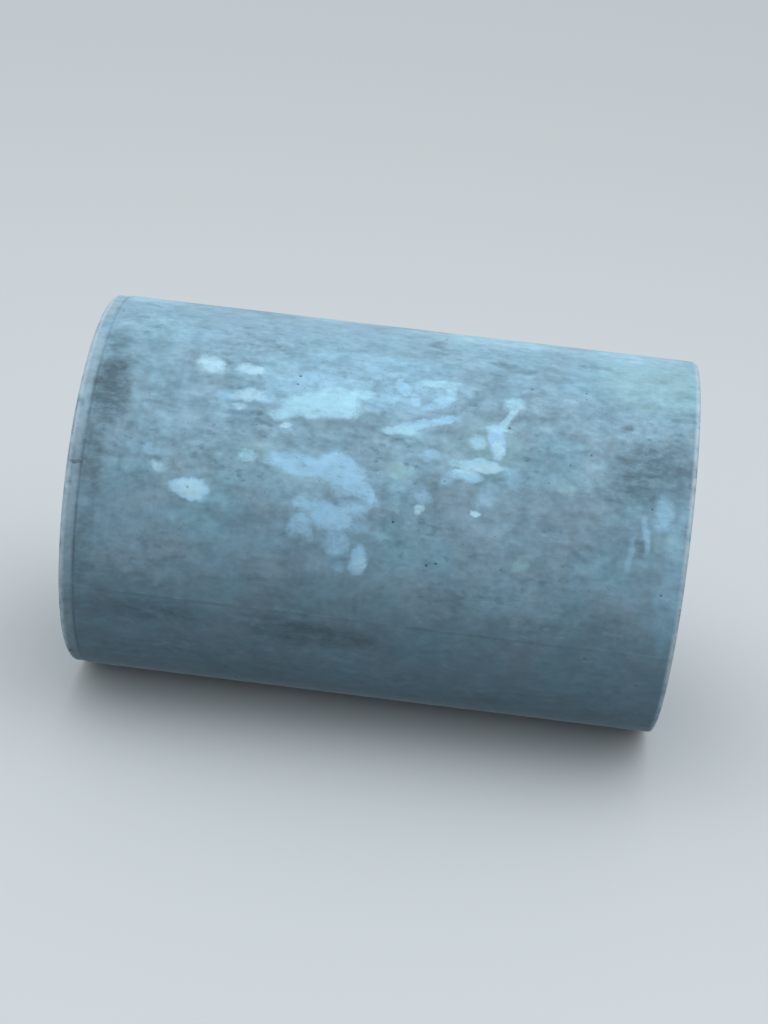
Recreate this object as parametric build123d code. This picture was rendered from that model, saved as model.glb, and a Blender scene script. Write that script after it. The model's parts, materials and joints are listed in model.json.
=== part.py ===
from build123d import *
import os

# Precast concrete culvert ring, one casting, in millimetres.
# Frame: the ring lies on its side. +X runs along the waterway, from the pallet end to the trowelled end.
# +Z is up, and the origin is on the bed line, half way along the ring.

# Driving dimensions
bore_diameter = 1000.0  # clear waterway
wall_thickness = 140.0  # reinforced concrete wall
ring_length = 2000.0  # from joint face to joint face

# Pallet end: the ring was cast standing on this end, in a shallow steel collar that leaves a stepped band
band_width = 50.0  # along the ring, from the joint face to the foot of the shoulder
band_depth = 3.0  # how far the band lies under the barrel
shoulder_run = 4.0  # slope from the band up to the barrel
pallet_chamfer = 10.0  # crisp arris formed by the collar

# Trowelled end: the top of the mould, where the arris is rubbed round by hand
trowelled_radius = 14.0  # outer arris

# Bore: both mouths have a lead-in left by the core
bore_chamfer = 12.0

# Worked out from the dimensions above
bore_radius = bore_diameter / 2
barrel_radius = bore_radius + wall_thickness
band_radius = barrel_radius - band_depth
pallet_face = -ring_length / 2
trowelled_face = ring_length / 2


def wall_section():
    """Half of the ring cut along its axis: X along the ring, Y out from the axis."""
    shoulder_foot = pallet_face + band_width
    shoulder_top = shoulder_foot + shoulder_run
    pallet_side = Polyline(
        (pallet_face + bore_chamfer, bore_radius),
        (pallet_face, bore_radius + bore_chamfer),
        (pallet_face, band_radius - pallet_chamfer),
        (pallet_face + pallet_chamfer, band_radius),
        (shoulder_foot, band_radius),
        (shoulder_top, barrel_radius),
    )
    barrel = Line((shoulder_top, barrel_radius), (trowelled_face - trowelled_radius, barrel_radius))
    rubbed_arris = RadiusArc(
        (trowelled_face - trowelled_radius, barrel_radius),
        (trowelled_face, barrel_radius - trowelled_radius),
        trowelled_radius,
    )
    trowelled_side = Polyline(
        (trowelled_face, barrel_radius - trowelled_radius),
        (trowelled_face, bore_radius + bore_chamfer),
        (trowelled_face - bore_chamfer, bore_radius),
        (pallet_face + bore_chamfer, bore_radius),
    )
    return make_face([pallet_side, barrel, rubbed_arris, trowelled_side])


def culvert_ring():
    """The casting: its wall section turned about the waterway's axis, then set down on its bed line."""
    standing_over_axis = revolve(wall_section(), Axis.X, 360)
    return Pos(0, 0, barrel_radius) * standing_over_axis


ring = culvert_ring()
os.makedirs("parts", exist_ok=True)
export_step(ring, "parts/culvert_ring.step")
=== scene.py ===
import json
import logging
import math
from dataclasses import dataclass
from enum import Enum
from functools import partial
from itertools import chain
from typing import Iterator

import bpy
from mathutils import Matrix, Vector


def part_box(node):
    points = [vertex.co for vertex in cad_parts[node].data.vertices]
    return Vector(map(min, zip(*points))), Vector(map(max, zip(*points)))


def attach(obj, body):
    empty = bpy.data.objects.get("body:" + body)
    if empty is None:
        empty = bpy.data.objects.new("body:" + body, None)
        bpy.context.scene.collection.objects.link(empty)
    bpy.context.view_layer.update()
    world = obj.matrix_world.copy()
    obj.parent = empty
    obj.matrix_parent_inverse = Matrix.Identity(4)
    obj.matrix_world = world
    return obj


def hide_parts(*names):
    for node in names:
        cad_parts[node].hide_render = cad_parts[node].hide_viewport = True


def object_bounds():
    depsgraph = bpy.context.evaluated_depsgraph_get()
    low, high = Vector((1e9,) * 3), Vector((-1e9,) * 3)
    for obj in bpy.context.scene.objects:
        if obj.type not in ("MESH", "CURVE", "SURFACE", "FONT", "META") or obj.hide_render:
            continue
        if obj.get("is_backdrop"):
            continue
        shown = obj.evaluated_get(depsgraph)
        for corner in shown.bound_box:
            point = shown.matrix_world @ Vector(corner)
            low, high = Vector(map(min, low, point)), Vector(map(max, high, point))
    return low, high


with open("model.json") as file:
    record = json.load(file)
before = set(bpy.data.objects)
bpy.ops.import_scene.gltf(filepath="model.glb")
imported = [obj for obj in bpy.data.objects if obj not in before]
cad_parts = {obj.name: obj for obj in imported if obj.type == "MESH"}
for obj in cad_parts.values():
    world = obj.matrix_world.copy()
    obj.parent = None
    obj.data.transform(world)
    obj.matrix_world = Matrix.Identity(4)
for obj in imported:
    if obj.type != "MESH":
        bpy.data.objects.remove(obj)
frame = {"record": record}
CAD_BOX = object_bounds()

LOG = logging.getLogger("culvert_ring")
MM = 0.001
MATH = "ShaderNodeMath"
VECTOR = "ShaderNodeVectorMath"
JOIN = "ShaderNodeCombineXYZ"
SPLIT = "ShaderNodeSeparateXYZ"
NOISE = "ShaderNodeTexNoise"
VORONOI = "ShaderNodeTexVoronoi"
MIX = "ShaderNodeMix"
RANGE = "ShaderNodeMapRange"
SMOOTH = {"interpolation_type": "SMOOTHSTEP"}  # a range that eases in and out
TIMES = {"operation": "MULTIPLY"}
TIMES_PLUS = {"operation": "MULTIPLY_ADD"}
MIX_A, MIX_B, MIX_OUT = 6, 7, 2  # places of a colour mix's sockets
RANGE_FROM_MIN, RANGE_FROM_MAX, RANGE_TO_MIN, RANGE_TO_MAX = 7, 8, 9, 10  # places of a vector range's sockets

Socket = bpy.types.NodeSocket
Tree = bpy.types.NodeTree
Amount = Socket | float  # a number, or the socket that works it out
Layers = Iterator[tuple[Socket, str]]  # covers from 0 to 1 and their colours, the undermost first


def linear(hex_colour: str) -> tuple[float, float, float, float]:
    """Turns an sRGB hex colour into the linear values that a shader socket takes.

    Args:
        hex_colour: The colour as "#rrggbb".

    Returns:
        Linear red, green, blue and an alpha of 1.
    """
    channels = [int(hex_colour[i : i + 2], 16) / 255 for i in (1, 3, 5)]
    red, green, blue = (c / 12.92 if c <= 0.04045 else ((c + 0.055) / 1.055) ** 2.4 for c in channels)
    return red, green, blue, 1.0


def add_node(
    tree: Tree, kind: str, inputs: dict | list | None = None, out: int | str = 0, **settings: object
) -> Socket:
    """Adds one node to a shader or geometry tree, with its settings, values and links.

    Args:
        tree: The tree that gets the node.
        kind: The node's type name.
        inputs: Values or sockets by input name or number, or a list of them in order.
        out: Which output to hand back.
        **settings: Properties of the node itself.

    Returns:
        The chosen output socket, or the node itself where it has none.
    """
    node = tree.nodes.new(kind)
    for name, value in settings.items():
        setattr(node, name, value)
    pairs = enumerate(inputs) if isinstance(inputs, list) else (inputs or {}).items()
    for key, value in pairs:
        if isinstance(value, Socket):
            tree.links.new(value, node.inputs[key])
        else:
            node.inputs[key].default_value = value
    return node.outputs[out] if len(node.outputs) else node


def span(value: Socket, start: Amount, end: Amount, at_start: float = 0.0, at_end: float = 1.0) -> dict:
    """Gives a range's inputs by name: one result before the start, another past the end, even steps between.

    Args:
        value: What is read.
        start: Where the change begins.
        end: Where it is complete, above the start or below it.
        at_start: The result before the change.
        at_end: The result after it.

    Returns:
        The inputs.
    """
    return {"Value": value, "From Min": start, "From Max": end, "To Min": at_start, "To Max": at_end}


def bake(piece: bpy.types.Object) -> None:
    """Turns a piece's modifiers into its own plain mesh and takes them off.

    Args:
        piece: The object to make plain.
    """
    shown = piece.evaluated_get(bpy.context.evaluated_depsgraph_get())
    plain = bpy.data.meshes.new_from_object(shown)
    piece.modifiers.clear()
    piece.data = plain


@dataclass(frozen=True)
class Coat:
    """How one kind of deposit takes to the concrete."""

    shade: str  # its colour
    thin: float  # the thickness at which it begins to show
    full: float  # the thickness at which it covers most
    most: float  # the most that it covers
    broken: float  # how much the grain of the skin breaks it up


class Deposit(Enum):
    """What weather and yard have left on the moulded face, the undermost first, each with its coat."""

    GRIME = Coat("#4b616c", thin=0.0, full=1.7, most=0.78, broken=2.0)  # dark soil and mould oil
    WASH = Coat("#a3cfd9", thin=0.05, full=1.3, most=0.6, broken=1.2)  # thin greenish cement wash
    BLOOM = Coat("#abdeff", thin=0.0, full=1.6, most=1.0, broken=2.0)  # thin bluish lime bloom
    # on the crest this crust is partly a painted highlight along the top edge
    CRUST = Coat("#b2e6fd", thin=0.05, full=1.25, most=1.0, broken=1.8)  # hard pale lime crust
    CHALK = Coat("#bfeaff", thin=0.05, full=1.3, most=1.0, broken=1.6)  # white powdery lime


@dataclass(frozen=True)
class Mark:
    """One patch on the barrel, as listed in MARKS."""

    along_mm: float  # its middle along the ring, from the ring's own middle towards the trowelled end
    angle_deg: float  # its middle round the barrel, from the top towards the viewer's side
    long_mm: float  # its size along its own long axis
    wide_mm: float  # its size across that axis
    strength: float  # how thick it lies, where 1 is fully covering
    turn_deg: float = 0.0  # turn of the long axis from the ring's axis, upwards on the trowelled side


MARKS = {  # the values of each Mark, by deposit
    Deposit.GRIME: (
        # The trowelled end
        (832, 68.5, 24, 56, 0.85, 20), (900, 43.5, 62, 64, 0.95), (870, 47, 280, 210, 1.05),
        (740, 63, 330, 210, 0.34), (762, 32.7, 44, 28, 0.9),
        # The crest
        (350, 11.6, 90, 38, 0.75, -5), (425, 14, 76, 30, 0.75, 5), (850, 9.5, 90, 64, 0.65),
        (642, 6, 34, 110, 0.55), (132, 4, 50, 95, 0.8), (340, 19, 60, 46, 0.8), (-70, 9, 120, 40, 0.55),
        (-300, 12, 110, 30, 0.4),
        # The pallet end
        (-905, 21, 110, 110, 0.75), (-893, 40, 120, 230, 1.35), (-918, 60, 84, 330, 0.8, 4),
        (-925, 88, 60, 300, 0.7, -4), (-980, 63.5, 46, 13, 2.6), (-840, 59.3, 150, 20, 0.6),
        (-895, 64, 140, 20, 0.5), (-780, 43.5, 330, 18, 0.55), (-500, 43, 220, 16, 0.5, -2),
        (-480, 34.3, 140, 20, 0.55), (-620, 33.5, 240, 40, 0.4),
        # Smears low down
        (-165, 108.5, 400, 100, 1.0), (-300, 104, 240, 26, 0.75), (-740, 107, 560, 90, 0.8),
        (20, 106, 220, 40, 0.5), (-420, 73, 220, 80, 0.3),
        # The far side
        (300, -44, 120, 60, 0.7), (-60, -34, 180, 60, 0.6), (-520, -14, 140, 60, 0.5),
        (-900, -55, 110, 320, 0.8), (0, -106, 520, 90, 0.8), (600, -104, 360, 60, 0.7),
        (-520, -110, 420, 80, 0.7),
    ),
    Deposit.WASH: (
        # The streaky patch
        (125, 39.3, 200, 30, 0.6, 16),
        # The splash on the right
        (325, 44, 230, 190, 0.8, 10),
        # The oval at the lower left
        (-545, 66, 60, 38, 0.9), (-400, 53.5, 150, 70, 0.7),
        # The hanging patch
        (-230, 60, 230, 100, 0.85),
        # Faint spots right of the middle
        (60, 55, 90, 46, 1.3), (595, 54.8, 60, 36, 1.1), (482, 77, 70, 40, 0.95, 40),
        # The trowelled end
        (920, 66, 120, 64, 0.7), (878, 50, 64, 34, 0.6), (860, 12, 380, 320, 0.95),
        # The far side
        (100, -66, 180, 110, 0.8, 10), (-800, -80, 150, 90, 0.7),
    ),
    Deposit.BLOOM: (
        # Spots at the upper left
        (-512, 37.5, 60, 44, 0.7), (-396, 36.5, 70, 56, 0.9, 10),
        # The slanting patch
        (-200, 31, 400, 150, 0.75, 12), (-60, 22, 460, 170, 0.65, 4), (-40, 36, 90, 44, 0.7),
        # The streaky patch
        (38, 27.5, 46, 70, 1.35, 30), (74, 31.5, 36, 60, 1.35, 10), (160, 31.5, 124, 46, 1.4, 36),
        (70, 30, 380, 170, 0.68, 8), (130, 39, 190, 28, 1.3, 16),
        # The splash on the right
        (356, 42, 44, 130, 1.3, 4), (268, 54.2, 100, 34, 1.2), (212, 56, 38, 54, 0.6, 10),
        (345, 59, 64, 76, 0.55, -20), (410, 52, 90, 80, 0.45),
        # The oval at the lower left
        (-592, 67.3, 106, 56, 2.4, -3), (-735, 57, 66, 32, 0.8),
        # The hanging patch
        (-230, 56.5, 230, 72, 1.45, -4), (-130, 57, 160, 84, 1.7, -15), (-60, 61, 140, 50, 1.5, -38),
        (-28, 64.5, 44, 52, 0.85), (-160, 62, 360, 230, 0.5), (-130, 62, 130, 56, 0.75, -10),
        (-205, 67.5, 110, 56, 1.2), (-140, 70.5, 140, 80, 1.45, -10), (-75, 67, 96, 96, 1.0),
        (-235, 73, 62, 84, 1.05, -40), (-205, 76, 28, 46, 0.75), (-60, 72.5, 80, 46, 0.7),
        (-110, 78, 80, 74, 0.95, -30), (-37, 82, 56, 84, 1.7, -8), (-95, 84.5, 36, 32, 0.6),
        # Faint spots right of the middle
        (148, 49.2, 60, 40, 0.85), (146, 61, 60, 40, 0.8, -20), (540, 27, 90, 24, 0.55, 5),
        # The trowelled end
        (903, 58, 60, 130, 0.75), (950, 79, 84, 400, 0.5), (940, 52, 100, 200, 0.25),
        (850, 65, 22, 120, 0.85, 8), (812, 70.5, 24, 96, 0.65),
        # The far side
        (540, -36, 330, 150, 0.8, -6), (-310, -52, 210, 80, 1.1, 8), (-250, -60, 130, 100, 1.2, -20),
        (-290, -70, 60, 120, 1.0, 5), (130, -64, 90, 44, 0.8, 15), (850, -75, 70, 260, 0.8),
        (300, -10, 300, 110, 0.6, 5),
    ),
    Deposit.CRUST: (
        # The slanting patch
        (-330, 41.3, 84, 44, 1.05, 12), (-262, 38.4, 150, 84, 1.15, 8), (-180, 36, 170, 90, 1.25, 10),
        (-125, 37.5, 85, 60, 1.1, 10), (-145, 32, 112, 42, 1.1, 10), (-75, 32, 58, 36, 0.85, 15),
        # The streaky patch
        (150, 24.3, 130, 28, 0.95, 3), (190, 27, 34, 70, 0.75), (0, 23, 56, 28, 0.6),
        (35, 42.8, 100, 30, 1.05, 5),
        # The splash on the right
        (398, 29.3, 68, 46, 0.95, 10), (404, 31.5, 24, 52, 0.85), (383, 34.7, 112, 28, 0.95, 66),
        (352, 38.5, 84, 22, 0.95, 4), (290, 43.5, 54, 56, 1.05), (305, 50.3, 150, 34, 1.2, 2),
        # The oval at the lower left
        (-426, 56, 50, 42, 0.8),
        # The hanging patch
        (-235, 67, 54, 32, 0.5),
        # The crest: partly lime crust, partly a painted highlight along the top edge
        (330, -10, 620, 200, 0.62), (760, -8, 420, 240, 0.6), (-860, -12, 240, 150, 0.75),
        (-200, -16, 420, 110, 0.6),
        # The far side
        (520, -38, 170, 70, 1.0, -8), (610, -41, 80, 44, 0.9, 10), (-330, -51, 90, 36, 0.8, 5),
        (820, -62, 40, 150, 0.75, 4),
    ),
    Deposit.CHALK: (
        # Spots at the upper left
        (-592, 27.5, 95, 62, 1.05), (-462, 27.5, 95, 44, 1.05, -4), (-462, 30, 50, 40, 0.5),
        (-452, 37, 92, 54, 1.05), (-488, 41.3, 72, 17, 0.75, -4), (-322, 45.4, 36, 15, 0.8),
        # The splash on the right
        (360, 45, 28, 56, 1.1, 4), (335, 51, 84, 28, 1.35, 6), (268, 52.8, 70, 20, 0.9, 10),
        (316, 63.5, 30, 15, 1.2),
        # The oval at the lower left
        (-597, 67.2, 100, 52, 1.15), (-704, 61.8, 58, 34, 0.62, -30),
        # The hanging patch
        (-33, 82.6, 34, 54, 0.9),
        # Faint spots right of the middle
        (138, 64.8, 32, 24, 0.9),
        # The far side
        (430, -30, 60, 34, 0.85), (-640, -45, 70, 46, 0.9), (-560, -48, 44, 30, 0.8), (240, -88, 46, 30, 0.8),
    ),
}


@dataclass(frozen=True)
class Patches:
    """Cloudy patches: a noise, read between two of its levels."""

    per_metre: float  # how many of the patches lie in a metre
    bare: float = 0.0  # the noise's level where there is least
    full: float = 1.0  # its level where there is most, above the bare one or below it
    least: float = 0.0  # the result on bare places
    most: float = 1.0  # the result on full ones
    detail: float = 5.0  # how many finer sizes ride on the coarse one
    rough: float = 0.5  # how strong the finer ones are

    def read(self, spot: "Bearings", place: Socket | None = None) -> Socket:
        """Finds how much there is at a point.

        Args:
            spot: The point.
            place: The same point stretched, if the patches are drawn out.

        Returns:
            From least to most.
        """
        where = {"Vector": place or spot.place, "Scale": self.per_metre}
        noise = add_node(spot.tree, NOISE, {**where, "Detail": self.detail, "Roughness": self.rough})
        return add_node(spot.tree, RANGE, span(noise, self.bare, self.full, self.least, self.most))


@dataclass(frozen=True)
class Bearings:
    """Where a point of the casting lies, as sockets of one tree; its shape and its finish both read them."""

    tree: Tree  # the tree that holds the sockets
    place: Socket  # the point, from the middle of the waterway
    along: Socket  # its place along the ring, towards the trowelled end
    radius: Socket  # its distance from the waterway's axis
    angle: Socket  # its angle round the ring in radians, from the top towards the viewer's side
    end_gap: Socket  # how far it lies inside the nearer joint face
    arris_gap: Socket  # how far it lies from the nearest arris

    @classmethod
    def take(cls, tree: Tree, place: Socket, half_length: Amount, rims: list[Amount]) -> "Bearings":
        """Adds the nodes that work the bearings out.

        Args:
            tree: The tree that gets the nodes.
            place: The point, from the middle of the waterway.
            half_length: Half of the ring's length.
            rims: The radii of the barrel and of the bore.

        Returns:
            The bearings.
        """
        add = partial(add_node, tree)
        split = add(SPLIT, [place]).node.outputs
        across = add(JOIN, {"Y": split["Y"], "Z": split["Z"]})
        radius = add(VECTOR, [across], out="Value", operation="LENGTH")
        to_viewer = add(MATH, [split["Y"], -1.0], **TIMES)
        off_middle = add(MATH, [split["X"]], operation="ABSOLUTE")
        end_gap = add(MATH, [half_length, off_middle], operation="SUBTRACT")
        gaps = []
        for rim in rims:
            off_rim = add(MATH, [radius, rim], operation="SUBTRACT")
            gaps.append(add(VECTOR, [add(JOIN, [end_gap, off_rim])], out="Value", operation="LENGTH"))
        angle = add(MATH, [to_viewer, split["Z"]], operation="ARCTAN2")
        return cls(tree, place, split["X"], radius, angle, end_gap, add(MATH, gaps, operation="MINIMUM"))


@dataclass(frozen=True)
class Hollows:
    """Hollows scattered over the casting, each part of a ball round the middle of a cell."""

    spacing: float  # from cell to cell
    kept: float | Patches  # the share of the cells that have one, the same all over or in patches
    smallest: float  # the smallest ball's share of the largest
    rare: float  # how rare the large ones are, as a power
    cut: float  # the share of a ball's depth that is cut

    def read(self, spot: Bearings, largest: Amount) -> tuple[Socket, Socket]:
        """Finds the nearest ball to a point, the same way for the shape and for the finish.

        Args:
            spot: The point.
            largest: The radius of the largest ball.

        Returns:
            The ball's radius, which is nothing in an empty cell, and how far the point is from its middle.
        """
        add = partial(add_node, spot.tree)
        cells = add(VORONOI, {"Vector": spot.place, "Scale": 1 / self.spacing}).node.outputs
        chance = add(SPLIT, [cells["Color"]]).node.outputs
        kept = self.kept.read(spot) if isinstance(self.kept, Patches) else self.kept
        size = add(MATH, [chance["X"], self.rare], operation="POWER")
        size = add(RANGE, span(size, 0.0, 1.0, self.smallest))
        for factor in (add(MATH, [chance["Y"], kept], operation="LESS_THAN"), largest):
            size = add(MATH, [size, factor], **TIMES)
        return size, add(MATH, [cells["Distance"], self.spacing], **TIMES)

    def depth(self, tree: Tree, size: Socket, reach: Socket) -> Socket:
        """Gives how deep a ball of radius size is cut at a distance reach from its middle.

        Args:
            tree: The tree that gets the nodes.
            size: The ball's radius.
            reach: Distance from the ball's middle.

        Returns:
            Depth in metres.
        """
        add = partial(add_node, tree)
        squares = [add(MATH, [side, side], **TIMES) for side in (size, reach)]
        inside = add(MATH, [add(MATH, squares, operation="SUBTRACT"), 0.0], operation="MAXIMUM")
        return add(MATH, [add(MATH, [inside], operation="SQRT"), self.cut], **TIMES)


@dataclass(frozen=True)
class ArrisChips:
    """Chips knocked out of the four arrises, with a jagged edge."""

    balls: Hollows = Hollows(95 * MM, kept=0.75, smallest=0.3, rare=1.0, cut=0.5)
    jags: Patches = Patches(90.0, detail=3.0)
    jag: float = 9 * MM  # how far the broken edge strays
    fade: tuple[float, float] = (8 * MM, 34 * MM)  # they die out between these distances from the arris

    def read(self, spot: Bearings, largest: Amount) -> Socket:
        """Finds how deep the chips go at a point, the same way for the shape and for the finish.

        Args:
            spot: The point.
            largest: The radius of the largest chip's ball.

        Returns:
            Depth in metres.
        """
        add = partial(add_node, spot.tree)
        size, reach = self.balls.read(spot, largest)
        reach = add(MATH, [self.jags.read(spot), self.jag, reach], **TIMES_PLUS)
        near = add(RANGE, span(spot.arris_gap, *self.fade, 1.0, 0.0), **SMOOTH)
        return add(MATH, [self.balls.depth(spot.tree, size, reach), near], **TIMES)


@dataclass(frozen=True)
class ToolMarks:
    """Marks that a tool left as it went round the ring or along it, joined up where the angle comes round."""

    around: float  # how closely they change round the ring, to a unit of sine
    across: float  # how closely they change in the other direction, to a metre
    detail: float  # how many finer sizes ride on the coarse one
    rough: float = 0.5  # how strong the finer ones are
    wander: float = 0.0  # how far they stray from their line

    def read(self, spot: Bearings, other: Socket) -> Socket:
        """Finds how rough the surface is at a point, the same way for the shape and for the finish.

        Args:
            spot: The point.
            other: The bearing that changes in the other direction.

        Returns:
            Roughness from 0 to 1.
        """
        add = partial(add_node, spot.tree)
        turned = [add(MATH, [spot.angle], operation=name) for name in ("COSINE", "SINE")]
        stretch = (self.around, self.around, self.across)
        drawn = add(VECTOR, [add(JOIN, [*turned, other]), stretch], **TIMES)
        settings = {"Detail": self.detail, "Roughness": self.rough, "Distortion": self.wander}
        return add(NOISE, {"Vector": drawn, "Scale": 1.0, **settings})


@dataclass(frozen=True)
class RingSizes:
    """Sizes of the casting in metres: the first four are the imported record's, the rest repeat its drawing."""

    length: float
    barrel_radius: float
    bore_radius: float
    axis_height: float
    band_width: float = 50 * MM
    band_depth: float = 3 * MM
    shoulder_run: float = 4 * MM
    pallet_chamfer: float = 10 * MM
    trowelled_radius: float = 14 * MM
    bore_chamfer: float = 12 * MM
    bend_steps: int = 6  # short straights in the rubbed arris

    @classmethod
    def from_record(cls, record: dict) -> "RingSizes":
        """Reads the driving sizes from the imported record's mounts and the CAD box.

        Args:
            record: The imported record.

        Returns:
            The ring's sizes in metres.
        """
        mounts = {mount["name"]: mount for mount in record["mounts"]}
        low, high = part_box("culvert_ring")
        return cls(
            length=high.x - low.x,
            barrel_radius=mounts["barrel"]["dims"]["r_mm"] * MM,
            bore_radius=mounts["waterway_bore"]["dims"]["r_mm"] * MM,
            axis_height=mounts["barrel"]["pos_m"][2],
        )

    def corners(self) -> list[tuple[float, float]]:
        """Gives the wall section's corners.

        Returns:
            Once round, each as (along, out from the axis) in metres.
        """
        pallet, trowelled = -self.length / 2, self.length / 2
        band = self.barrel_radius - self.band_depth
        shoulder = pallet + self.band_width
        bend = self.trowelled_radius
        turns = [math.pi / 2 * step / self.bend_steps for step in range(self.bend_steps + 1)]
        rubbed = [
            (trowelled - bend + bend * math.sin(turn), self.barrel_radius - bend + bend * math.cos(turn))
            for turn in turns
        ]
        return [
            (pallet + self.bore_chamfer, self.bore_radius),
            (pallet, self.bore_radius + self.bore_chamfer),
            (pallet, band - self.pallet_chamfer),
            (pallet + self.pallet_chamfer, band),
            (shoulder, band),
            (shoulder + self.shoulder_run, self.barrel_radius),
            *rubbed,
            (trowelled, self.bore_radius + self.bore_chamfer),
            (trowelled - self.bore_chamfer, self.bore_radius),
        ]


@dataclass
class RingCasting:
    """The one casting: its wall section swept round the waterway, with the mould's and the yard's relief."""

    sizes: RingSizes
    around: int = 1008  # steps round the ring, 4 mm apart on the barrel
    barrel_step: float = 4.0 * MM
    bore_step: float = 7.0 * MM
    edge_step: float = 2.5 * MM
    wave_depth: float = 2.0 * MM  # how far the steel jacket was out of true
    long_waves: Patches = Patches(1.7, detail=2.0)
    lift_stretch: tuple[float, float, float] = (13.0, 0.8, 0.8)  # the vibrated lifts change along the ring
    lift_rings: Patches = Patches(1.0, detail=3.0)
    peel_depth: float = 0.5 * MM  # shallow dimples left by mould oil
    orange_peel: Patches = Patches(24.0, detail=4.0, rough=0.6)
    seam_height: float = 1.4 * MM  # paste fin on the two lines where the half jackets of the mould meet
    fin_half_width: float = 5 * MM
    fin_left: Patches = Patches(16.0, 0.42, 0.62, rough=0.7)  # where the fin hasn't broken off
    seam_angle: float = math.radians(101.0)  # one seam, from the top towards the viewer
    barrel_reach: float = 12 * MM  # how far off the barrel's radius a point is still on it
    bore_reach: float = 3 * MM  # the same for the bore
    face_reach: float = 4 * MM  # how far inside a joint face the float's marks fade out
    air: Patches = Patches(2.6, 0.4, 0.7, least=0.1, most=0.8, detail=2.0)  # where it was trapped
    bug_holes: Hollows = Hollows(30 * MM, kept=air, smallest=0.25, rare=3.0, cut=0.75)  # round
    largest_hole: float = 6 * MM
    arris_chips: ArrisChips = ArrisChips()
    chip_radius: float = 32.0 * MM  # the largest chip on an arris
    crumbs: Patches = Patches(65.0, 0.45, 0.8, most=4 * MM, rough=0.65)  # crumbling between the chips
    crumbled: tuple[float, float] = (6 * MM, 15 * MM)  # it fades out between these distances from the arris
    float_arcs: ToolMarks = ToolMarks(7.0, 1 / (12 * MM), detail=4.0, rough=0.6, wander=0.6)
    float_depth: float = 1.6 * MM  # marks of the wooden float on the trowelled face
    pallet_share: float = 0.3  # how much of that depth the flatter cast on the pallet face has
    core_scores: ToolMarks = ToolMarks(45.0, 1.3, detail=3.0)
    score_depth: float = 1.2 * MM  # where the core dragged as it was drawn
    scored: tuple[float, float] = (0.5, 0.8)  # roughness at which the scores begin and are deepest
    sharp_deg: float = 50.0
    triangle_limit: int = 190_000

    def section_mesh(self) -> bpy.types.Mesh:
        """Makes the wall section as a closed line of short edges, fine at the arrises, coarser in the bore.

        Returns:
            The line as a mesh, with the distance out from the bore on X and the place along the ring on -Y.
        """
        corners = self.sizes.corners()
        points: list[tuple[float, float, float]] = []
        for start, end in zip(corners, corners[1:] + corners[:1]):
            length = math.dist(start, end)
            in_bore = max(start[1], end[1]) <= self.sizes.bore_radius + MM
            short = length < 2 * self.sizes.trowelled_radius
            step = self.edge_step if short else self.bore_step if in_bore else self.barrel_step
            count = max(1, round(length / step))
            for index in range(count):
                share = index / count
                along = start[0] + (end[0] - start[0]) * share
                out = start[1] + (end[1] - start[1]) * share
                points.append((out - self.sizes.bore_radius, -along, 0.0))
        points.reverse()  # so that the swept faces point outwards
        total = len(points)
        mesh = bpy.data.meshes.new("wall_section")
        mesh.from_pydata(points, [(index, (index + 1) % total) for index in range(total)], [])
        return mesh

    def named_inputs(self) -> dict[str, float | int]:
        """Gives the geometry tree's inputs by the names that its sockets carry."""
        return {
            "Around": self.around,
            "Bore Radius": self.sizes.bore_radius,
            "Barrel Radius": self.sizes.barrel_radius,
            "Half Length": self.sizes.length / 2,
            "Axis Height": self.sizes.axis_height,
            "Wave Depth": self.wave_depth,
            "Peel Depth": self.peel_depth,
            "Seam Height": self.seam_height,
            "Seam Angle": self.seam_angle,
            "Chip Radius": self.chip_radius,
            "Float Depth": self.float_depth,
        }

    def sweep_tree(self, material: bpy.types.Material) -> Tree:
        """Builds the geometry tree: sweep the section, press the relief in, set the ring on its bed line.

        Args:
            material: The finish that the tree gives the casting.

        Returns:
            The geometry tree.
        """
        tree = bpy.data.node_groups.new("cast_ring", "GeometryNodeTree")
        tree.interface.new_socket(name="Section", in_out="INPUT", socket_type="NodeSocketGeometry")
        for name, value in self.named_inputs().items():
            kind = "NodeSocketInt" if isinstance(value, int) else "NodeSocketFloat"
            tree.interface.new_socket(name=name, in_out="INPUT", socket_type=kind)
        tree.interface.new_socket(name="Casting", in_out="OUTPUT", socket_type="NodeSocketGeometry")
        add = partial(add_node, tree)
        given = add("NodeGroupInput").node.outputs
        section = add("GeometryNodeMeshToCurve", [given["Section"]])
        hoop = {"Resolution": given["Around"], "Radius": given["Bore Radius"]}
        circle = add("GeometryNodeCurvePrimitiveCircle", hoop)
        swept = add("GeometryNodeCurveToMesh", {"Curve": circle, "Profile Curve": section})
        lying = add("GeometryNodeTransform", {"Geometry": swept, "Rotation": (0.0, math.pi / 2, 0.0)})
        normal = add("GeometryNodeInputNormal")
        outward = add(VECTOR, {0: normal, "Scale": self.relief(tree, given)}, operation="SCALE")
        inward = add(VECTOR, {0: outward, "Scale": -1.0}, operation="SCALE")
        pressed = add("GeometryNodeSetPosition", {"Geometry": lying, "Offset": inward})
        height = add(JOIN, {"Z": given["Axis Height"]})
        placed = add("GeometryNodeTransform", {"Geometry": pressed, "Translation": height})
        smooth = add("GeometryNodeSetShadeSmooth", {"Geometry": placed, "Shade Smooth": True})
        real = add("GeometryNodeRealizeInstances", [smooth])
        add("NodeGroupOutput", [add("GeometryNodeSetMaterial", {"Geometry": real, "Material": material})])
        return tree

    def relief(self, tree: Tree, given: bpy.types.NodeOutputs) -> Socket:
        """Adds up how far each point lies under the mould's face, in metres.

        Args:
            tree: The geometry tree.
            given: The tree's inputs.

        Returns:
            The depth as a field.
        """
        rims = [given["Barrel Radius"], given["Bore Radius"]]
        spot = Bearings.take(tree, add_node(tree, "GeometryNodeInputPosition"), given["Half Length"], rims)
        total: Amount = 0.0
        for part in chain(self.moulded(spot, given), self.worked(spot, given)):
            total = add_node(tree, MATH, [total, part], operation="ADD")
        return total

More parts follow.
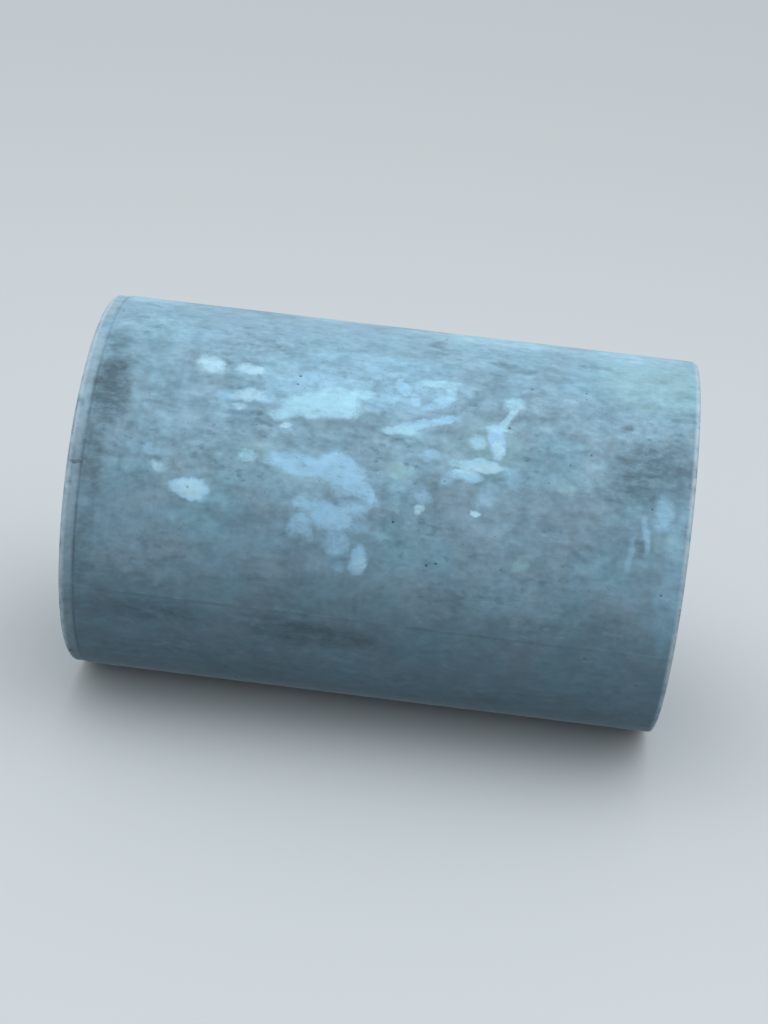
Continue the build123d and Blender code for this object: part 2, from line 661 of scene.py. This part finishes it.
    def past_seam(self, spot: Bearings, seam_angle: Amount, barrel_radius: Amount) -> Socket:
        """Finds how far a point lies past the nearer seam, the same way for the shape and for the finish.

        Args:
            spot: The point.
            seam_angle: The angle of one seam; the other is opposite.
            barrel_radius: The radius that the angle is turned to metres at.

        Returns:
            Metres round the barrel, less than nothing before the seam as the angle grows.
        """
        add = partial(add_node, spot.tree)
        from_seam = add(MATH, [spot.angle, seam_angle], operation="SUBTRACT")
        folded = add(MATH, [from_seam, math.pi / 2, -math.pi / 2], operation="WRAP")
        return add(MATH, [folded, barrel_radius], **TIMES)

    def moulded(self, spot: Bearings, given: bpy.types.NodeOutputs) -> Iterator[Socket]:
        """What the mould left: waves of a bent jacket, lift rings, orange peel, seam fins and bug holes.

        Args:
            spot: The point.
            given: The tree's inputs.

        Yields:
            Depths in metres, less than nothing on the fins, which stand proud.
        """
        add = partial(add_node, spot.tree)
        stretched = add(VECTOR, [spot.place, self.lift_stretch], **TIMES)
        waves: Amount = 0.0
        for patches, place, depth in (
            (self.long_waves, spot.place, given["Wave Depth"]),
            (self.lift_rings, stretched, given["Peel Depth"]),
            (self.orange_peel, spot.place, given["Peel Depth"]),
        ):
            waves = add(MATH, [patches.read(spot, place), depth, waves], **TIMES_PLUS)
        yield waves
        aside = self.past_seam(spot, given["Seam Angle"], given["Barrel Radius"])
        aside = add(MATH, [aside], operation="ABSOLUTE")
        fin = add(RANGE, span(aside, 0.0, self.fin_half_width, 1.0, 0.0), **SMOOTH)
        left = self.fin_left.read(spot)
        on_barrel = add(MATH, [spot.radius, given["Barrel Radius"], self.barrel_reach], operation="COMPARE")
        for factor in (left, given["Seam Height"], on_barrel, -1.0):
            fin = add(MATH, [fin, factor], **TIMES)
        yield fin
        yield self.bug_holes.depth(spot.tree, *self.bug_holes.read(spot, self.largest_hole))

    def worked(self, spot: Bearings, given: bpy.types.NodeOutputs) -> Iterator[Socket]:
        """What the yard left: chipped and crumbled arrises, marks of the float, and scores of the core.

        Args:
            spot: The point.
            given: The tree's inputs.

        Yields:
            Depths in metres.
        """
        add = partial(add_node, spot.tree)
        yield self.arris_chips.read(spot, given["Chip Radius"])
        at_edge = add(RANGE, span(spot.arris_gap, *self.crumbled, 1.0, 0.0), **SMOOTH)
        yield add(MATH, [self.crumbs.read(spot), at_edge], **TIMES)
        on_face = add(RANGE, span(spot.end_gap, 0.0, self.face_reach, 1.0, 0.0))
        trowelled = add(MATH, [spot.along, 0.0], operation="GREATER_THAN")
        share = add(RANGE, span(trowelled, 0.0, 1.0, self.pallet_share))
        rough = self.float_arcs.read(spot, spot.radius)
        for factor in (given["Float Depth"], share, on_face):
            rough = add(MATH, [rough, factor], **TIMES)
        yield rough
        in_bore = add(MATH, [spot.radius, given["Bore Radius"], self.bore_reach], operation="COMPARE")
        scores = self.core_scores.read(spot, spot.along)
        cut = add(RANGE, span(scores, *self.scored, 0.0, self.score_depth))
        yield add(MATH, [cut, in_bore], **TIMES)

    def build(self, material: bpy.types.Material) -> bpy.types.Object:
        """Makes the casting as a plain closed mesh.

        Args:
            material: Its finish.

        Returns:
            The object, at the origin and unturned.
        """
        casting = bpy.data.objects.new("ring_casting", self.section_mesh())
        bpy.context.scene.collection.objects.link(casting)
        tree = self.sweep_tree(material)
        sweep = casting.modifiers.new("sweep", "NODES")
        sweep.node_group = tree
        values = self.named_inputs()
        for item in tree.interface.items_tree:
            if item.in_out == "INPUT" and item.name in values:
                sweep[item.identifier] = values[item.name]
        bake(casting)
        triangles = sum(len(face.vertices) - 2 for face in casting.data.polygons)
        if triangles > self.triangle_limit:
            thin = casting.modifiers.new("thin", "DECIMATE")
            thin.ratio = self.triangle_limit / triangles
            bake(casting)
        casting.data.set_sharp_from_angle(angle=math.radians(self.sharp_deg))
        return casting


@dataclass(frozen=True)
class CastConcrete:
    """Dense vibrated concrete with the skin of an oiled steel mould: close, cool grey, matt, a faint sheen.

    To the eye it is a blue-grey cement skin, clouded where the oil and the water lay, with air holes darkened
    by painted shade, streaks along the ring, pale arrises, partly rubbed and partly a painted highlight, and
    lime that the rain has drawn out.
    """

    ring: RingCasting  # the casting, for the places that the colours follow
    spot: Bearings  # the point, in the material's tree
    skin: str = "#87abc0"
    skin_cool: str = "#7eafc3"
    skin_warm: str = "#8da3b3"
    # painted shade inside pin-holes and bug holes
    hole_shade: str = "#46565e"
    # pale arris line: partly rubbed wear, partly a painted highlight
    arris: str = "#c6dce8"
    # partly wet soil and partly painted shade low on the flanks; also the darker line at the band's shoulder
    damp_and_painted_shade: str = "#586771"
    # partly dried weathering and partly painted light on the top of the ring
    bleached_and_painted_light: str = "#a0cfe9"
    oil_fleck: str = "#5f7c8b"
    lime_fleck: str = "#a9cbdd"
    bore_wall: str = "#7896a6"
    floated: str = "#93b0bf"
    pallet_stain: str = "#6f8792"
    paste: str = "#b3c8d3"
    broken_stone: str = "#8f9ca3"
    pore_mm: float = 7.0
    closed_pores: float = 0.88  # share of the cells without a pin-hole
    grain_mm: float = 2.6
    grain_depth: float = 0.6 * MM
    grain_strength: float = 0.35
    fleck_mm: float = 30.0
    tint_mm: float = 170.0
    tinted: tuple[float, float] = (0.42, 0.68)  # noise levels at which a tint begins and is full
    most_tint: float = 0.55
    stray_mm: float = 30.0  # how far the rim of a deposit wanders
    mottles: tuple[tuple[float, float, float], ...] = (  # size in millimetres, detail, swing in lightness
        (330.0, 2.0, 0.28),
        (110.0, 2.0, 0.32),
        (45.0, 1.0, 0.38),
        (18.0, 1.0, 0.24),
        (2.6, 0.0, 0.05),
    )
    mottled_skin: float = 0.55  # share of the mottling that the deposits hide
    quiet: float = 0.45  # share of it on the crest and low down
    roughness: float = 0.74
    specular: float = 0.42
    dust: float = 0.5  # dry dust that catches the sky at a glancing angle
    dust_spread: float = 0.3
    dust_shade: str = "#d9f0ff"

    @classmethod
    def finish(cls, ring: RingCasting) -> bpy.types.Material:
        """Makes the material: the skin's own tones, what settled on them, the mould's lines and the wear.

        Args:
            ring: The casting, for the places that the colours follow.

        Returns:
            The material.
        """
        material = bpy.data.materials.new("cast_concrete")
        material.use_nodes = True
        tree = material.node_tree
        tree.nodes.clear()
        sizes = ring.sizes
        held = add_node(tree, "ShaderNodeTexCoord", out="Object")
        place = add_node(tree, VECTOR, [held, (0.0, 0.0, sizes.axis_height)], operation="SUBTRACT")
        spot = Bearings.take(tree, place, sizes.length / 2, [sizes.barrel_radius, sizes.bore_radius])
        skin = cls(ring, spot)
        colour = skin.covered(linear(skin.skin), chain(skin.tints(), skin.faces(), skin.flanks()))
        mottled = skin.mottling()
        for share, layers in (
            (skin.mottled_skin, chain(skin.flecks(), skin.deposits())),
            (1 - skin.mottled_skin, chain(skin.mould_lines(), skin.wear())),
        ):
            swung = {"Color": colour, "Value": mottled, "Fac": share}
            colour = skin.covered(add_node(tree, "ShaderNodeHueSaturation", swung), layers)
        look = {
            "Base Color": colour,
            "Roughness": skin.roughness,
            "Specular IOR Level": skin.specular,
            "Sheen Weight": skin.dust,
            "Sheen Roughness": skin.dust_spread,
            "Sheen Tint": linear(skin.dust_shade),
            "Normal": skin.bump(),
        }
        shader = add_node(tree, "ShaderNodeBsdfPrincipled", look)
        add_node(tree, "ShaderNodeOutputMaterial", {"Surface": shader})
        return material

    def covered(self, colour: Socket | tuple[float, ...], layers: Layers) -> Socket:
        """Lays layers over a colour, each one's nodes only when its turn comes.

        Args:
            colour: What lies underneath.
            layers: What is laid on.

        Returns:
            The colour that shows.
        """
        for cover, shade in layers:
            mixed = {0: cover, MIX_A: colour, MIX_B: linear(shade)}
            colour = add_node(self.spot.tree, MIX, mixed, out=MIX_OUT, data_type="RGBA")
        return colour

    def tints(self) -> Layers:
        """The clean skin's drift, a little greener in some patches and greyer in others.

        Yields:
            Each tint's cover and colour.
        """
        add = partial(add_node, self.spot.tree)
        settings = {"Vector": self.spot.place, "Scale": 1000 / self.tint_mm, "Detail": 3.0}
        tints = add("ShaderNodeSeparateColor", [add(NOISE, settings, out="Color")]).node.outputs
        for channel, shade in (("Red", self.skin_cool), ("Green", self.skin_warm)):
            yield add(RANGE, span(tints[channel], *self.tinted, 0.0, self.most_tint)), shade

    def faces(self) -> Layers:
        """Tones of the bore and of the two joint faces, blotched where the mould oil and the paste lay.

        Yields:
            Each tone's cover and colour.
        """
        add = partial(add_node, self.spot.tree)
        bore = self.ring.sizes.bore_radius
        in_bore = add(RANGE, span(self.spot.radius, bore + 3 * MM, bore + 9 * MM, 0.75, 0.0))
        at_end = add(RANGE, span(self.spot.end_gap, 5 * MM, 9 * MM, 1.0, 0.0))
        shown = Patches(9.0, 0.35, 0.65, least=0.15, most=0.8, rough=0.6).read(self.spot)
        yield in_bore, self.bore_wall
        scores = self.ring.core_scores.read(self.spot, self.spot.along)
        for bare, full, most, shade in ((0.5, 0.68, 0.6, self.oil_fleck), (0.46, 0.3, 0.5, self.lime_fleck)):
            cover = add(RANGE, span(scores, bare, full, 0.0, most))
            yield add(MATH, [cover, in_bore], **TIMES), shade
        for side, shade in (("GREATER_THAN", self.floated), ("LESS_THAN", self.pallet_stain)):
            cover = add(MATH, [self.spot.along, 0.0], operation=side)
            for factor in (at_end, shown):
                cover = add(MATH, [cover, factor], **TIMES)
            yield cover, shade
        # darker where the float's marks are cut deepest
        arcs = add(RANGE, span(self.ring.float_arcs.read(self.spot, self.spot.radius), 0.46, 0.64, 0.0, 0.5))
        yield add(MATH, [arcs, at_end], **TIMES), self.oil_fleck

    def flanks(self) -> Layers:
        """The top paler in cloudy patches, partly dried and partly painted light, and low down darker, partly
        wet splashed soil and partly painted shade.

        Yields:
            Each tone's cover and colour.
        """
        add = partial(add_node, self.spot.tree)
        steep = add(MATH, [self.spot.angle], operation="ABSOLUTE")
        upper = Patches(4.5, most=math.radians(-60), rough=0.6)
        lower = Patches(5.0, most=math.radians(26), rough=0.62)
        drifts = (
            # How far the edge wanders, between which degrees from the top it lies, the cover before and after
            # paler on top: partly dried weathering, partly painted light
            (upper, (-25, 35), (0.38, 0.0), "LINEAR", self.bleached_and_painted_light),
            # darker low down: partly wet soil, partly painted shade
            (lower, (95, 114), (0.0, 0.36), "SMOOTHSTEP", self.damp_and_painted_shade),
        )
        for wander, edges_deg, covers, curve, shade in drifts:
            edge = add(MATH, [wander.read(self.spot), steep], operation="ADD")
            drift = span(edge, *map(math.radians, edges_deg), *covers)
            yield add(RANGE, drift, interpolation_type=curve), shade

    def mottling(self) -> Socket:
        """How much lighter or darker the skin is than its tone, livelier on the dry upper half.

        Returns:
            A factor near 1.
        """
        tree = self.spot.tree
        drawn_out = add_node(tree, VECTOR, [self.spot.place, (0.8, 1.1, 1.1)], **TIMES)
        swung: Amount = 0.0
        for size_mm, detail, swing in self.mottles:
            noise = Patches(1000 / size_mm, least=-swing, most=swing, detail=detail)
            swung = add_node(tree, MATH, [noise.read(self.spot, drawn_out), swung], operation="ADD")
        streaks = (
            # Stretch along and across the ring, the levels between which they appear, swing in lightness
            ((3.2, 46.0, 46.0), (0.42, 0.6), 0.2),
            ((60.0, 4.0, 4.0), (0.55, 0.38), 0.14),
        )
        for stretch, levels, swing in streaks:
            stretched = add_node(tree, VECTOR, [self.spot.place, stretch], **TIMES)
            noise = Patches(1.0, least=-swing, most=swing, detail=2.0).read(self.spot, stretched)
            there = Patches(3.4, *levels, least=0.15, detail=2.0).read(self.spot)
            swung = add_node(tree, MATH, [noise, there, swung], **TIMES_PLUS)
        return add_node(tree, MATH, [swung, self.liveliness(), 1.0], **TIMES_PLUS)

    def liveliness(self) -> Socket:
        """How strongly the skin is mottled: most on the flanks, less on the crest and low down.

        Returns:
            A factor up to 1.
        """
        add = partial(add_node, self.spot.tree)
        steep = add(MATH, [self.spot.angle], operation="ABSOLUTE")
        lively: Amount = 1.0
        for quiet_deg, lively_deg in ((-10, 25), (105, 60)):
            share = add(RANGE, span(steep, math.radians(quiet_deg), math.radians(lively_deg), self.quiet))
            lively = add(MATH, [lively, share], **TIMES)
        return lively

    def flecks(self) -> Layers:
        """Finger-wide dark and pale flecks, gathered in some places, where the oil beaded and the paste bled.

        Yields:
            The cover and colour of the dark ones and of the pale ones.
        """
        add = partial(add_node, self.spot.tree)
        crowd = Patches(4.0, 0.42, 0.62, least=0.05, detail=2.0).read(self.spot)
        crowd = add(MATH, [crowd, self.liveliness()], **TIMES)
        drawn_out = add(VECTOR, [self.spot.place, (0.7, 1.15, 1.15)], **TIMES)
        dark, pale = ((0.56, 0.7), 0.6, self.oil_fleck), ((0.42, 0.28), 0.45, self.lime_fleck)
        for levels, most, shade in (dark, pale):
            fleck = Patches(1000 / self.fleck_mm, *levels, most=most, detail=2.0)
            yield add(MATH, [fleck.read(self.spot, drawn_out), crowd], **TIMES), shade

    def deposits(self) -> Layers:
        """What has settled on the barrel: the listed patches.

        Yields:
            Each deposit's cover and colour.
        """
        add = partial(add_node, self.spot.tree)
        settings = {"Vector": self.spot.place, "Scale": 13.0, "Detail": 5.0, "Roughness": 0.6}
        astray = add("ShaderNodeSeparateColor", [add(NOISE, settings, out="Color")]).node.outputs
        skin = self.ring.sizes.barrel_radius
        girth = add(MATH, [self.spot.angle, skin], **TIMES)
        unrolled = []
        for flat, stray in ((self.spot.along, astray["Green"]), (girth, astray["Blue"])):
            off = add(RANGE, span(stray, 0.0, 1.0, -self.stray_mm * MM, self.stray_mm * MM))
            moved = add(MATH, [flat, off], operation="ADD")
            unrolled.append(add(JOIN, [moved] * 3))
        on_barrel = add(RANGE, span(self.spot.radius, skin - 12 * MM, skin - 6 * MM))
        drawn_out = add(VECTOR, [self.spot.place, (17.0, 31.0, 31.0)], **TIMES)
        ragged = Patches(1.0, least=-0.75, most=0.75, detail=6.0, rough=0.75).read(self.spot, drawn_out)
        for deposit, rows in MARKS.items():
            coat, marks = deposit.value, [Mark(*row) for row in rows]
            thick: Socket | tuple[float, float, float] = (0.0, 0.0, 0.0)
            for first in range(0, len(marks), 3):
                three = self.thickness(unrolled, marks[first : first + 3])
                thick = add(VECTOR, [thick, three], operation="MAXIMUM")
            thickest: Amount = 0.0
            for one in add(SPLIT, [thick]).node.outputs:
                thickest = add(MATH, [thickest, one], operation="MAXIMUM")
            uneven = add(MATH, [ragged, coat.broken, 1.0], **TIMES_PLUS)
            total = add(MATH, [uneven, thickest], **TIMES)
            cover = add(RANGE, span(total, coat.thin, coat.full, 0.0, coat.most), **SMOOTH)
            yield add(MATH, [cover, on_barrel], **TIMES), coat.shade

    def thickness(self, unrolled: list[Socket], marks: list[Mark]) -> Socket:
        """How thick up to three marks lie, one to a component: level in the middle and thinning past the rim.

        Args:
            unrolled: The barrel laid flat: metres along the ring and metres round it, each in all components.
            marks: The marks.

        Returns:
            Their thickness.
        """
        tree = self.spot.tree
        radius = self.ring.sizes.barrel_radius
        turns = [math.radians(mark.turn_deg) for mark in marks]
        middles = [(mark.along_mm * MM, math.radians(mark.angle_deg) * radius) for mark in marks]
        axes = (
            [(math.cos(turn), -math.sin(turn), mark.long_mm / 2 * MM) for turn, mark in zip(turns, marks)],
            [(math.sin(turn), math.cos(turn), mark.wide_mm / 2 * MM) for turn, mark in zip(turns, marks)],
        )
        spare = (0.0,) * (3 - len(marks))
        level, gone = 0.05, 2.4  # squared distances, in its half sizes, between which a mark thins out
        far_squared: Socket | tuple[float, float, float] = (0.0, 0.0, 0.0)
        for axis in axes:
            by_along = tuple(east / half for east, south, half in axis) + spare
            by_girth = tuple(south / half for east, south, half in axis) + spare
            back = tuple(
                -(east * middle[0] + south * middle[1]) / half
                for (east, south, half), middle in zip(axis, middles)
            )
            share = add_node(tree, VECTOR, [unrolled[0], by_along, back + spare], **TIMES_PLUS)
            share = add_node(tree, VECTOR, [unrolled[1], by_girth, share], **TIMES_PLUS)
            far_squared = add_node(tree, VECTOR, [share, share, far_squared], **TIMES_PLUS)
        thinning = {
            "Vector": far_squared,
            RANGE_FROM_MIN: (level,) * 3,
            RANGE_FROM_MAX: (gone,) * 3,
            RANGE_TO_MIN: tuple(mark.strength for mark in marks) + spare,
            RANGE_TO_MAX: (0.0, 0.0, 0.0),
        }
        return add_node(tree, RANGE, thinning, out="Vector", data_type="FLOAT_VECTOR", **SMOOTH)

    def mould_lines(self) -> Layers:
        """What follows the mould's lines, all of it broken.

        They are a stain of leaked paste beside each seam and the paler fin on it, the paste that the collar
        kept on the pallet band, and a darker line in the foot of the band's shoulder.

        Yields:
            Each line's cover and colour.
        """
        add = partial(add_node, self.spot.tree)
        along, sizes = self.spot.along, self.ring.sizes
        pallet, band, skin = -sizes.length / 2, sizes.band_width, sizes.barrel_radius
        aside = self.ring.past_seam(self.spot, self.ring.seam_angle, skin)
        stained, finned = Patches(7.0, 0.42, 0.6, rough=0.65), Patches(7.0, 0.52, 0.4, rough=0.65)
        pasted, foot_left = Patches(11.0, 0.35, 0.6, rough=0.65), Patches(9.0, 0.35, 0.6)
        lines = (
            # Measured along, from here, full up to, gone at, cover, where it is left, lowest radius, colour
            (aside, 5 * MM, 0.0, 9 * MM, 0.45, stained, skin - 8 * MM, self.oil_fleck),
            (aside, 0.0, 0.0, 4 * MM, 0.2, finned, skin - 8 * MM, self.paste),
            (along, pallet, band - 14 * MM, band, 0.45, pasted, skin - 12 * MM, self.paste),
            # a darker line in the foot of the band's shoulder
            (along, pallet + band, 1.5 * MM, 7 * MM, 0.5, foot_left, skin - 12 * MM, self.damp_and_painted_shade),
        )
        for measured, middle, full, gone, most, left, lowest, shade in lines:
            off = add(MATH, [measured, middle], operation="SUBTRACT")
            off = add(MATH, [off], operation="ABSOLUTE")
            line = add(RANGE, span(off, full, gone, most, 0.0))
            outside = add(MATH, [self.spot.radius, lowest], operation="GREATER_THAN")
            for factor in (left.read(self.spot), outside):
                line = add(MATH, [line, factor], **TIMES)
            yield line, shade

    def wear(self) -> Layers:
        """Painted shade in the holes, pale arrises broken here and there, partly rubbed and partly a painted
        highlight, and the rough grey inside of the chips.

        Yields:
            The cover and colour of the painted shade in pin-holes too small for the mesh and in the mesh's bug
            holes, of the arrises and of the chips.
        """
        add = partial(add_node, self.spot.tree)
        cells = add(VORONOI, {"Vector": self.spot.place, "Scale": 1000 / self.pore_mm}).node.outputs
        chance = add(SPLIT, [cells["Color"]]).node.outputs
        pore = (add(RANGE, span(chance["X"], self.closed_pores, 1.0, 0.0, 0.3)), cells["Distance"])
        bug_hole = self.ring.bug_holes.read(self.spot, self.ring.largest_hole)
        # painted shade inside pin-holes and bug holes
        for (edge, middle), slope, most in ((pore, 0.08, 0.7), (bug_hole, 2.5 * MM, 0.75)):
            inside = add(MATH, [edge, middle], operation="SUBTRACT")
            yield add(RANGE, span(inside, 0.0, slope, 0.0, most)), self.hole_shade
        # pale arrises: partly rubbed wear, partly a painted highlight
        near = add(RANGE, span(self.spot.arris_gap, 12 * MM, 22 * MM, 0.9, 0.0))
        rubbed = Patches(21.0, 0.32, 0.56, least=0.12, rough=0.65).read(self.spot)
        yield add(MATH, [near, rubbed], **TIMES), self.arris
        depth = self.ring.arris_chips.read(self.spot, self.ring.chip_radius)
        yield add(RANGE, span(depth, 0.2 * MM, 2 * MM, 0.0, 0.8)), self.broken_stone

    def bump(self) -> Socket:
        """Bends the normal with sand grain and fine pores, too small for the mesh.

        Returns:
            The bent normal.
        """
        settings = {"Vector": self.spot.place, "Scale": 1000 / self.grain_mm / 2, "Detail": 4.0}
        height = add_node(self.spot.tree, NOISE, settings)
        relief = {"Strength": self.grain_strength, "Distance": self.grain_depth, "Height": height}
        return add_node(self.spot.tree, "ShaderNodeBump", relief)


@dataclass(frozen=True)
class Studio:
    """A pale plain floor under a broad soft sky, and the camera at the photograph's own angle."""

    floor_half_m: float = 30.0
    floor_seen: str = "#dfe4e7"
    floor_lighting: str = "#7c8184"  # duller in the light that it throws back
    sky: str = "#f4f9fb"
    sky_strength: float = 0.76
    key_watts: float = 190.0
    key_size_m: float = 8.0
    key_at_m: tuple[float, float, float] = (0.8, -1.2, 9.0)
    eye_m: tuple[float, float, float] = (0.315, -6.907, 3.556)
    aim_m: tuple[float, float, float] = (0.0, 0.0, 0.64)
    lean_deg: float = -5.9
    lens_mm: float = 101.7
    film_mm: float = 36.0

    def floor(self) -> None:
        """Lays the floor, pale to the camera and duller to the light that it throws back."""
        half = self.floor_half_m
        mesh = bpy.data.meshes.new("floor")
        corners = [(-half, -half, 0), (half, -half, 0), (half, half, 0), (-half, half, 0)]
        mesh.from_pydata(corners, [], [(0, 1, 2, 3)])
        floor = bpy.data.objects.new("floor", mesh)
        bpy.context.scene.collection.objects.link(floor)
        material = bpy.data.materials.new("floor_paint")
        material.use_nodes = True
        tree = material.node_tree
        tree.nodes.clear()
        seen = add_node(tree, "ShaderNodeLightPath", out="Is Camera Ray")
        mixed = {0: seen, MIX_A: linear(self.floor_lighting), MIX_B: linear(self.floor_seen)}
        colour = add_node(tree, MIX, mixed, out=MIX_OUT, data_type="RGBA")
        shader = add_node(tree, "ShaderNodeBsdfDiffuse", {"Color": colour})
        add_node(tree, "ShaderNodeOutputMaterial", {"Surface": shader})
        mesh.materials.append(material)
        floor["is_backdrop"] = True

    def lights(self) -> None:
        """Hangs one broad lamp over the ring under an even sky."""
        world = bpy.data.worlds.new("sky")
        world.use_nodes = True
        backdrop = world.node_tree.nodes["Background"]
        backdrop.inputs["Color"].default_value = linear(self.sky)
        backdrop.inputs["Strength"].default_value = self.sky_strength
        bpy.context.scene.world = world
        lamp = bpy.data.lights.new("key", "AREA")
        lamp.shape = "SQUARE"
        lamp.size = self.key_size_m
        lamp.energy = self.key_watts
        key = bpy.data.objects.new("key", lamp)
        bpy.context.scene.collection.objects.link(key)
        key.location = self.key_at_m
        downwards = Vector(self.aim_m) - key.location
        key.rotation_euler = downwards.to_track_quat("-Z", "Y").to_euler()

    def camera(self) -> None:
        """Puts the camera where the photograph was taken from, turned and closed in on the one ring."""
        eye = Vector(self.eye_m)
        forward = (Vector(self.aim_m) - eye).normalized()
        level = forward.cross(Vector((0, 0, 1))).normalized()
        right = Matrix.Rotation(math.radians(self.lean_deg), 3, forward) @ level
        up = right.cross(forward)
        data = bpy.data.cameras.new("camera")
        data.sensor_fit = "HORIZONTAL"
        data.sensor_width = self.film_mm
        data.lens = self.lens_mm
        camera = bpy.data.objects.new("camera", data)
        bpy.context.scene.collection.objects.link(camera)
        turned = Matrix((right, up, -forward)).transposed().to_4x4()
        camera.matrix_world = Matrix.Translation(eye) @ turned
        bpy.context.scene.camera = camera


def write_sizes() -> None:
    """Puts the CAD box and the dressed model's box side by side as plain lists."""
    boxes = {"cad": CAD_BOX, "visual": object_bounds()}
    plain = {name: [list(map(float, corner)) for corner in box] for name, box in boxes.items()}


def main() -> None:
    """Builds the casting, dresses it and sets it on the floor."""
    logging.basicConfig(level=logging.INFO, format="%(name)s: %(message)s")
    bpy.context.scene.view_settings.view_transform = "Standard"
    studio = Studio()
    studio.floor()
    studio.lights()
    studio.camera()
    ring = RingCasting(RingSizes.from_record(frame["record"]))
    casting = ring.build(CastConcrete.finish(ring))
    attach(casting, "root")
    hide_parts("culvert_ring")
    LOG.info("ring_casting: %d faces", len(casting.data.polygons))
    write_sizes()


if __name__ == "__main__":
    main()
